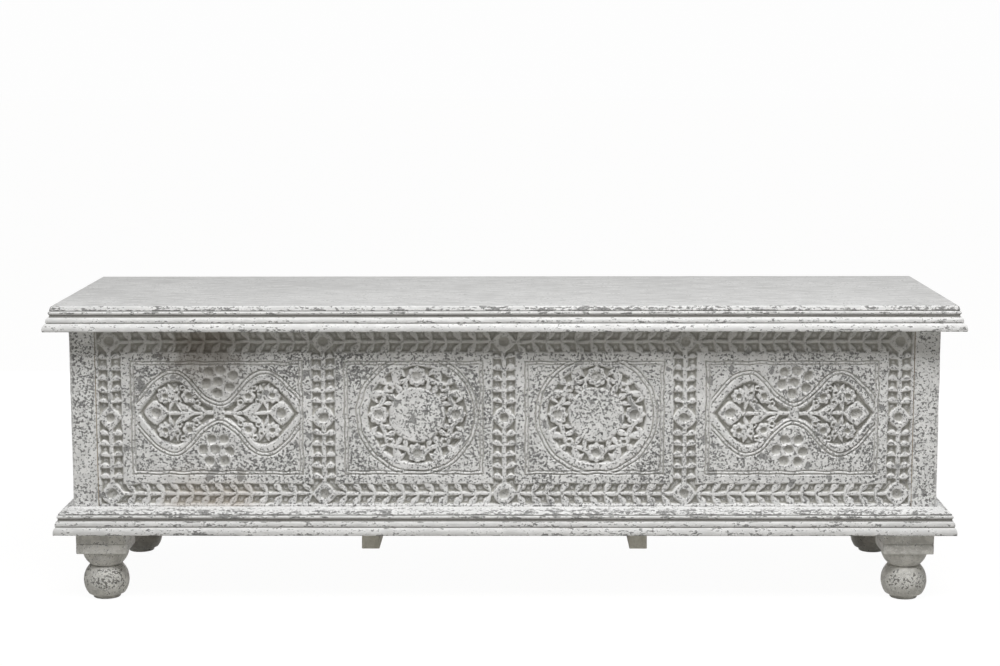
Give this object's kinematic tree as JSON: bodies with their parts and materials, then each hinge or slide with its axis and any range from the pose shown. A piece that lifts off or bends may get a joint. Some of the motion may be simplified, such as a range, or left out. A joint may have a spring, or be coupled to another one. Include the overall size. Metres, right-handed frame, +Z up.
{
  "type": "storage bench",
  "caption": "Long low carved wooden storage bench with a moulded hinged lid, carved front, moulded base and turned bun feet.",
  "frame": {"origin": "on the floor under the middle of the bench's bounding box", "axes": "+X along the length to the viewer's right, +Y to the back, +Z up"},
  "size_m": [1.45, 0.43, 0.48],
  "materials": {
    "paint": "distressed off-white paint over grey, worn at the edges",
    "lid_paint": "even off-white paint with faint streaks and small chips",
    "carved_paint": "distressed off-white paint over grey with darker hollows",
    "bare_wood": "bare sawn hardwood, greyed",
    "iron": "dull hinge steel"
  },
  "bodies": {
    "carcass": {"front_panel": "carved_paint", "back_panel": "paint", "end_panel_left": "paint", "end_panel_right": "paint", "corner_post_front_left": "paint", "corner_post_front_right": "paint", "corner_post_back_left": "paint", "corner_post_back_right": "paint", "base_moulding_front": "paint", "base_moulding_left": "paint", "base_moulding_right": "paint", "floor_board_front": "bare_wood", "floor_board_middle": "bare_wood", "floor_board_back": "bare_wood", "bearer_left": "bare_wood", "bearer_right": "bare_wood", "foot_block_front_left": "paint", "foot_block_front_right": "paint", "foot_block_back_left": "paint", "foot_block_back_right": "paint", "feet_front": "paint", "feet_back": "paint", "foot_pegs": "bare_wood", "hinge_leaves_lower": "iron", "hinge_pins": "iron"},
    "lid": {"lid_board_front": "lid_paint", "lid_board_middle": "lid_paint", "lid_board_back": "lid_paint", "lid_moulding_front": "paint", "lid_moulding_left": "paint", "lid_moulding_right": "paint", "lid_rail_back": "paint", "lid_batten_left": "bare_wood", "lid_batten_right": "bare_wood", "hinge_leaves_upper": "iron"}
  },
  "joints": [
    {"name": "lid_hinge", "type": "hinge", "parent": "carcass", "child": "lid", "pos_m": [0, 0.2043, 0.44], "axis": [-1, 0, 0], "range_deg": [0, 105]}
  ]
}
